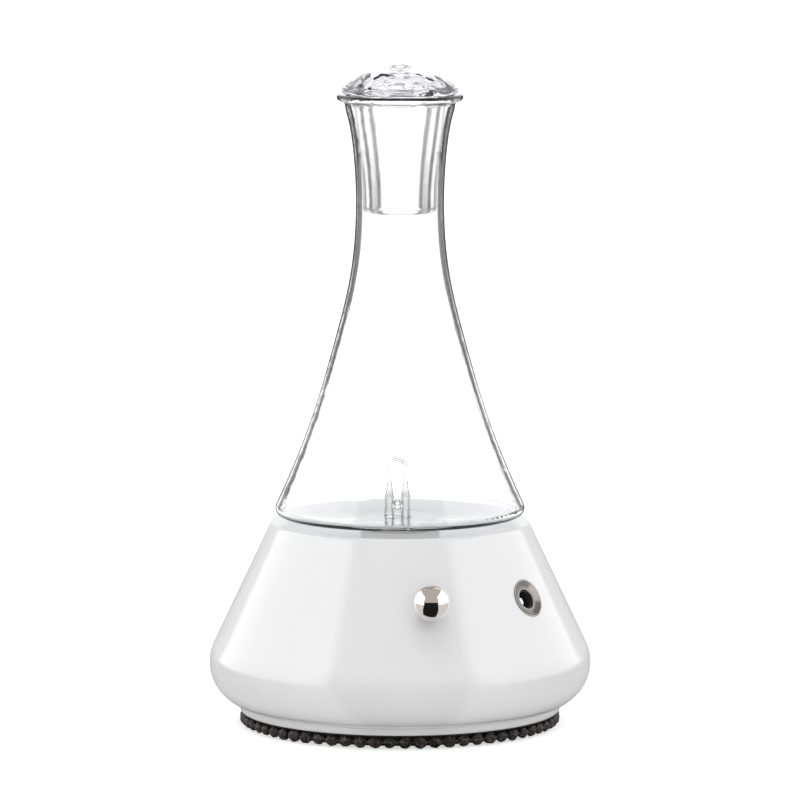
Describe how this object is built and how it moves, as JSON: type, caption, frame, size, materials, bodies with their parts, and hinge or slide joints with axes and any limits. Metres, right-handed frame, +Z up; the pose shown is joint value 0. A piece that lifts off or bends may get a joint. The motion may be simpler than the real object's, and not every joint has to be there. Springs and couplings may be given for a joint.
{
  "type": "essential oil diffuser",
  "caption": "Waterless essential oil diffuser: clear glass flask with atomiser and vented stopper on a white ceramic base with air pump, chrome ball knob, power jack and stone bead skirt.",
  "frame": {"origin": "centre of the plane the rubber feet stand on, on the axis of the ceramic base and the flask", "axes": "+Z up along the flask; the control knob faces -Y and the power jack is 43 degrees from it towards +X"},
  "size_m": [0.128, 0.1287, 0.2213],
  "materials": {
    "clear_glass": "clear borosilicate glass, fire polished",
    "white_ceramic": "white gloss glaze",
    "socket_plastic": "cream silicone-like plastic",
    "white_plastic": "satin moulded",
    "black_plastic": "fine spark-eroded texture",
    "black_rubber": "matt",
    "dark_stone": "tumbled dark stone with light specks",
    "cord": "waxed cord",
    "foam": "open-cell foam",
    "clear_silicone": "translucent silicone",
    "chrome": "polished",
    "bright_steel": "zinc plated",
    "screw_steel": "plain steel",
    "brass": "sintered or rolled",
    "copper": "enamelled copper",
    "dark_magnet": "sintered ferrite",
    "carbon_track": "printed carbon on laminate",
    "board_green": "solder mask",
    "capacitor_sleeve": "shrink sleeve",
    "red_wire": "PVC insulation",
    "black_wire": "PVC insulation"
  },
  "bodies": {
    "base": {"ceramic_shell": "white_ceramic", "glass_socket": "socket_plastic", "socket_nut": "white_plastic", "mounting_ring": "black_plastic", "base_plate": "black_plastic", "base_screws": "screw_steel", "rubber_feet": "black_rubber", "foot_gasket": "black_rubber", "stone_beads": "dark_stone", "bead_cord": "cord", "motor_can": "bright_steel", "motor_magnets": "dark_magnet", "motor_end_cap": "white_plastic", "motor_brushes": "brass", "motor_bearings": "brass", "crank_housing": "black_plastic", "diaphragm": "black_rubber", "valve_plate": "white_plastic", "valve_flaps": "black_rubber", "pump_head": "black_plastic", "head_screws": "screw_steel", "motor_screws": "screw_steel", "inlet_filter": "foam", "pump_cradle": "black_plastic", "pump_pad": "foam", "pump_strap": "bright_steel", "strap_screws": "screw_steel", "air_hose": "clear_silicone", "hose_clips": "screw_steel", "control_board": "board_green", "driver_chip": "black_plastic", "board_capacitor": "capacitor_sleeve", "board_connectors": "white_plastic", "board_screws": "screw_steel", "pot_body": "bright_steel", "pot_track": "carbon_track", "pot_nut": "bright_steel", "knob_bracket": "bright_steel", "bracket_screws": "screw_steel", "jack_bezel": "chrome", "jack_sleeve": "chrome", "jack_body": "black_plastic", "jack_pin": "chrome", "jack_nut": "bright_steel", "jack_contacts": "brass", "power_leads": "red_wire", "board_leads": "black_wire"},
    "flask": {"glass_reservoir": "clear_glass"},
    "stopper": {"glass_stopper": "clear_glass"},
    "knob": {"ball_knob": "chrome", "pot_shaft": "bright_steel", "pot_wiper": "brass"},
    "rotor": {"motor_shaft": "screw_steel", "rotor_core": "screw_steel", "rotor_windings": "copper", "commutator": "copper", "eccentric": "brass"},
    "rod": {"connecting_rod": "white_plastic", "rod_bush": "brass"}
  },
  "joints": [
    {"name": "flask_lift", "type": "slide", "parent": "base", "child": "flask", "axis": [0, 0, 1], "range_m": [0, 0.04]},
    {"name": "stopper_lift", "type": "slide", "parent": "flask", "child": "stopper", "axis": [0, 0, 1], "range_m": [0, 0.06]},
    {"name": "knob_turn", "type": "hinge", "parent": "base", "child": "knob", "pos_m": [0, -0.0532, 0.047], "axis": [0, 0.9041, -0.4274], "range_deg": [0, 300]},
    {"name": "rotor_spin", "type": "hinge", "parent": "base", "child": "rotor", "pos_m": [0, 0.018, 0.02], "axis": [1, 0, 0], "continuous": true},
    {"name": "rod_orbit", "type": "hinge", "parent": "rotor", "child": "rod", "pos_m": [0.009, 0.018, 0.0212], "axis": [1, 0, 0], "continuous": true}
  ],
  "couplings": [
    {"joint": "rod_orbit", "follows": "rotor_spin", "ratio": -1}
  ]
}
